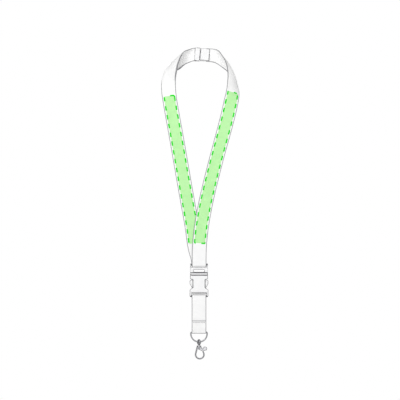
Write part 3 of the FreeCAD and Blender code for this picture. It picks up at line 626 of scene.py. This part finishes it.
# ------------------------------------------------------------------ meshes
def new_object(name, vertices, faces, material):
    mesh = bpy.data.meshes.new(name)
    mesh.from_pydata([tuple(float(c) * MM for c in v) for v in vertices], [], faces)
    mesh.materials.append(material)
    mesh.validate()
    mesh.shade_smooth()
    piece = bpy.data.objects.new(name, mesh)
    bpy.context.scene.collection.objects.link(piece)
    return piece


def tidy_normals(piece):
    mesh = bmesh.new()
    mesh.from_mesh(piece.data)
    bmesh.ops.recalc_face_normals(mesh, faces=mesh.faces)
    mesh.to_mesh(piece.data)
    mesh.free()
    piece.data.set_sharp_from_angle(angle=math.radians(CREASE))


class Bands:
    """Closed bands that follow a strap, with the strap's coordinates as their UV map."""

    def __init__(self):
        self.vertices = []
        self.faces = []
        self.coords = []

    def add(self, rows):
        """A row holds the points across the band, each as (section, offset, length, low, high). low and
        high are the distances of the band's two faces from the webbing's middle surface."""
        start = len(self.vertices)
        cells = len(rows[0]) - 1
        ring = 2 * (cells + 1)
        for row in rows:
            low_face = [(section, offset, length, low) for section, offset, length, low, high in row]
            high_face = [(section, offset, length, high) for section, offset, length, low, high in row]
            for section, offset, length, lift in low_face + high_face[::-1]:
                point, normal = on_section(section, offset)
                self.vertices.append(point + normal * lift)
                self.coords.append((offset, length))
        for i in range(len(rows) - 1):
            for k in range(ring):
                a = start + i * ring + k
                b = start + i * ring + (k + 1) % ring
                self.faces.append((a, b, b + ring, a + ring))
        last = start + (len(rows) - 1) * ring
        for k in range(cells):
            far = ring - 1 - k
            self.faces.append((start + k, start + far, start + far - 1, start + k + 1))
            self.faces.append((last + k, last + k + 1, last + far - 1, last + far))

    def piece(self, name, material):
        piece = new_object(name, self.vertices, self.faces, material)
        layer = piece.data.uv_layers.new(name="strap")
        for loop in piece.data.loops:
            layer.data[loop.index].uv = self.coords[loop.vertex_index]
        tidy_normals(piece)
        return piece


# ------------------------------------------------------------------ webbing
def web_profile():
    """Offsets across the webbing with half its thickness at each; the edges are rounded."""
    half = WEB_W / 2
    edge = [(half, 0.35 * CORE), (half - 0.1, 0.75 * CORE), (half - 0.35, CORE), (half - 1.0, CORE)]
    right = edge + [(half * share, CORE) for share in (0.7, 0.45, 0.2)]
    return [(-x, h) for x, h in right] + [(0.0, CORE)] + [(x, h) for x, h in reversed(right)]


def make_strap(name, sections, node, body, cut):
    """One strap of webbing. cut is true where the cut at its far end is seen."""
    at = lengths_along(sections)
    folds = [at[k] for k in range(1, len(at) - 1) if is_fold(sections, k)]
    cut_end = at[-1] if cut else None
    cloth = webbing_material("white_" + name, WEB_LIGHT, WEB_DARK, WEB_EDGE_AND_FOLD_SHADE, folds, cut_end)
    bands = Bands()
    bands.add([[(section, offset, length, -half, half) for offset, half in web_profile()]
               for section, length in zip(sections, at)])
    strap = bands.piece(name, cloth)
    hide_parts(node)
    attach(strap, body)


# ------------------------------------------------------------------ printed panels
def on_front(side, low, high):
    """Distances of the ink's two faces from the webbing's middle surface. The front of the webbing looks
    along the normal on the right strap and against it on the left one."""
    return (CORE + low, CORE + high) if side > 0 else (-CORE - high, -CORE - low)


def ink_panel(side, sections, at, start, length, corner):
    half = PRINT_W / 2
    low, high = on_front(side, INK_LOW, INK_HIGH)
    ends = [corner * (1 - math.cos(math.radians(angle))) for angle in range(0, 91, CORNER_STEP)]
    straight = [corner + (length - 2 * corner) * k / PANEL_ROWS for k in range(1, PANEL_ROWS)]
    rows = []
    for along in ends + straight + [length - end for end in reversed(ends)]:
        depth = min(along, length - along, corner)
        inset = corner - math.sqrt(max(corner**2 - (corner - depth) ** 2, 0))
        section = section_at(sections, at, start + along)
        offsets = [(half - inset) * k / PANEL_CELLS for k in range(-PANEL_CELLS, PANEL_CELLS + 1)]
        rows.append([(section, offset, along, low, high) for offset in offsets])
    bands = Bands()
    bands.add(rows)
    return bands


def panel_outline(half, length, corner):
    """Maps a distance from the middle of the panel's top, round one corner, down its side and in to the
    middle of its bottom, to (across, along, and the outward direction of both)."""
    flat = half - corner
    quarter = corner * math.pi / 2
    side = length - 2 * corner

    def at(distance):
        if distance < flat:
            return distance, 0.0, 0.0, -1.0
        distance -= flat
        if distance < quarter:
            sine = math.sin(distance / corner)
            cosine = math.cos(distance / corner)
            return flat + corner * sine, corner * (1 - cosine), sine, -cosine
        distance -= quarter
        if distance < side:
            return half, corner + distance, 1.0, 0.0
        distance -= side
        if distance < quarter:
            sine = math.sin(distance / corner)
            cosine = math.cos(distance / corner)
            return flat + corner * cosine, length - corner + corner * sine, cosine, sine
        return max(flat - (distance - quarter), 0.0), length, 0.0, 1.0

    return at, 2 * flat + 2 * quarter + side


def dash_spans(total, first, second):
    """The first dash as given, then even dashes from the distance second on."""
    spans = [first]
    while second + DASH_LENGTH < total:
        spans.append((second, second + DASH_LENGTH))
        second += DASH_PITCH
    return spans


def ink_dashes(side, sections, at, start, length, corner):
    low, high = on_front(side, DASH_LOW, DASH_HIGH)
    outline, total = panel_outline(PRINT_W / 2 - DASH_INSET, length, corner)
    bands = Bands()
    for edge, (first, second) in (DASHES_LEFT if side < 0 else DASHES_RIGHT).items():
        for begin, end in dash_spans(total, first, second):
            count = max(4, round((end - begin) / DASH_STEP))
            rows = []
            for k in range(count + 1):
                across, along, out_across, out_along = outline(begin + (end - begin) * k / count)
                row = []
                for step in (-DASH_WIDTH / 2, DASH_WIDTH / 2):
                    place = along + out_along * step
                    section = section_at(sections, at, start + place)
                    row.append((section, edge * (across + out_across * step), place, low, high))
                rows.append(row)
            bands.add(rows)
    return bands


def print_panel(side, sections):
    """The printed area on a neck strap: a panel of ink and its dashed border."""
    name = "left" if side < 0 else "right"
    top, bottom = PRINT_LEFT if side < 0 else PRINT_RIGHT
    corner = CORNER_LEFT if side < 0 else CORNER_RIGHT
    at = lengths_along(sections)
    start = length_at_height(sections, at, top)
    length = length_at_height(sections, at, bottom) - start
    panel = ink_panel(side, sections, at, start, length, corner).piece("ink_panel_" + name, GREEN_INK)
    dashes = ink_dashes(side, sections, at, start, length, corner).piece("ink_border_" + name, DASH_INK)
    for piece in (panel, dashes):
        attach(piece, "left_side" if side < 0 else "right_side")
    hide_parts("print_panel_" + name)


# ------------------------------------------------------------------ seams
def stitch(x, y, out, z):
    """Vertices of one arched stitch across the webbing, on a face at y that looks to the side out."""
    vertices = []
    for k in range(STITCH_STEPS + 1):
        t = k / STITCH_STEPS
        swell = math.sin(math.pi * t)
        arch = ARCH * swell ** 0.5 if 0 < t < 1 else -SUNK
        centre = np.array([x + STITCH_L * (t - 0.5), y + out * arch, z + SLANT * (t - 0.5)])
        thick = THREAD_R * (0.65 + 0.35 * swell)
        for j in range(STITCH_SIDES):
            turn = 2 * math.pi * j / STITCH_SIDES
            vertices.append(centre + np.array([0, math.cos(turn) * thick, math.sin(turn) * thick]))
    return vertices


def stitches(name, node, rows, body):
    """Rows of stitches. A row is (y of the face, outward sign, z)."""
    vertices, faces = [], []
    count = int(SEAM_W / STITCH_PITCH)
    for y, out, z in rows:
        for i in range(count):
            start = len(vertices)
            vertices.extend(stitch(STITCH_PITCH * (i - (count - 1) / 2), y, out, z))
            for k in range(STITCH_STEPS):
                for j in range(STITCH_SIDES):
                    a = start + k * STITCH_SIDES + j
                    b = start + k * STITCH_SIDES + (j + 1) % STITCH_SIDES
                    faces.append((a, b, b + STITCH_SIDES, a + STITCH_SIDES))
            last = start + STITCH_STEPS * STITCH_SIDES
            faces.append(tuple(start + j for j in range(STITCH_SIDES)))
            faces.append(tuple(last + j for j in reversed(range(STITCH_SIDES))))
    piece = new_object(name, vertices, faces, THREAD)
    tidy_normals(piece)
    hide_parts(node)
    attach(piece, body)


def make_seams():
    share = (LOW_BAR_Z - SEAM_Z) / (LOW_BAR_Z - RING_BAR_Z)
    front = BUCKLE_Y - (RING_FOLD + WEB_T + LAP_GAP + LAP_LEAN) - CORE
    behind = BUCKLE_Y + BAR_FOLD + (RING_FOLD - BAR_FOLD) * share + CORE
    stitches("lower_seam", "lower_strap_stitching", [(front, -1, SEAM_Z), (behind, 1, SEAM_Z)], "drop")
    tail = BUCKLE_Y + FOLD_RIGHT + CORE
    rows = [(tail, 1, BAR_Z + TAIL - down) for down in TAIL_SEAMS]
    stitches("tail_seams", "neck_tail_stitching", rows, "right_side")


# ------------------------------------------------------------------ mouldings and metalwork
def cleaned(source, name, faced):
    """A copy of a CAD mesh without the joins between its flat facets. Where a direction faced is given, the
    slopes and a narrow border on the faces that look along it take the second material, which is painted
    shade."""
    mesh = bmesh.new()
    mesh.from_mesh(source.data)
    bmesh.ops.remove_doubles(mesh, verts=mesh.verts, dist=0.001 * MM)
    flatten = math.radians(FLATTEN)
    bmesh.ops.dissolve_limit(mesh, angle_limit=flatten, verts=mesh.verts, edges=mesh.edges)
    if faced is not None:
        chosen = [face for face in mesh.faces if abs(face.normal.dot(faced)) > FACING]
        border = bmesh.ops.inset_region(mesh, faces=chosen, thickness=SHADE_BORDER * MM, use_even_offset=False)
        slopes = [face for face in mesh.faces if GRAZING < abs(face.normal.dot(faced)) < FACING]
        # the slopes and the borders take the second material: painted shade
        for face in slopes + border["faces"]:
            face.material_index = 1
        bmesh.ops.triangulate(mesh, faces=[face for face in mesh.faces if len(face.verts) > 4])
    data = bpy.data.meshes.new(name)
    mesh.to_mesh(data)
    mesh.free()
    return data


def softened(node, name, material, rim, faced=None):
    """A copy of a CAD node with its hard edges rounded. rim is a darker material that paints shade on the
    roundings and, where a direction faced is given, on the slopes and the borders of the faces that look
    along it."""
    source = nodes[node]
    data = cleaned(source, name, faced)
    data.materials.append(material)
    data.materials.append(rim)
    piece = bpy.data.objects.new(name, data)
    bpy.context.scene.collection.objects.link(piece)
    bevel = piece.modifiers.new("rounded", "BEVEL")
    bevel.width = EDGE_RADIUS[node] * MM
    bevel.segments = 2
    # the roundings take the second material: painted shade along the edges
    bevel.material = 1
    bevel.limit_method = "ANGLE"
    bevel.angle_limit = math.radians(ROUNDED_FROM)
    bevel.harden_normals = faced is None
    bevel.miter_outer = "MITER_ARC"
    if faced is None:
        data.shade_smooth()
        data.set_sharp_from_angle(angle=math.radians(METAL_CREASE))
    else:
        data.shade_flat()
    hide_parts(node)
    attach(piece, source["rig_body"])


def make_mouldings():
    forwards = Vector((0, 1, 0))
    off_clip = Vector(clip_axes() @ np.array([0, 1.0, 0]))
    for node in ("breakaway_plug", "breakaway_socket"):
        softened(node, "moulded_" + node, WHITE_PLASTIC, PLASTIC_EDGE_SHADE, off_clip)
    for node in ("buckle_plug", "latch_arm_left", "latch_arm_right", "buckle_socket"):
        softened(node, "moulded_" + node, WHITE_PLASTIC, PLASTIC_EDGE_SHADE, forwards)


def make_metalwork():
    for node in ("d_ring", "swivel_eye", "hook_body"):
        softened(node, "plated_" + node, NICKEL, NICKEL_EDGE_SHADE)
    softened("gate_lever", "plated_gate_lever", BRIGHT_NICKEL, NICKEL_EDGE_SHADE, Vector((0, 1, 0)))
    softened("gate_pin", "plated_gate_pin", NICKEL, NICKEL_EDGE_SHADE)
    softened("gate_spring", "leaf_gate_spring", SPRING_STEEL, NICKEL_EDGE_SHADE)


# ------------------------------------------------------------------ the whole
make_camera()
make_stage()
left = neck_sections(-1)
right = neck_sections(1)
make_strap("neck_webbing_left", left, "neck_strap_left", "left_side", cut=False)
make_strap("neck_webbing_right", right, "neck_strap_right", "right_side", cut=False)
make_strap("lower_webbing", lower_sections(), "lower_strap", "drop", cut=True)
print_panel(-1, left)
print_panel(1, right)
make_seams()
make_mouldings()
make_metalwork()
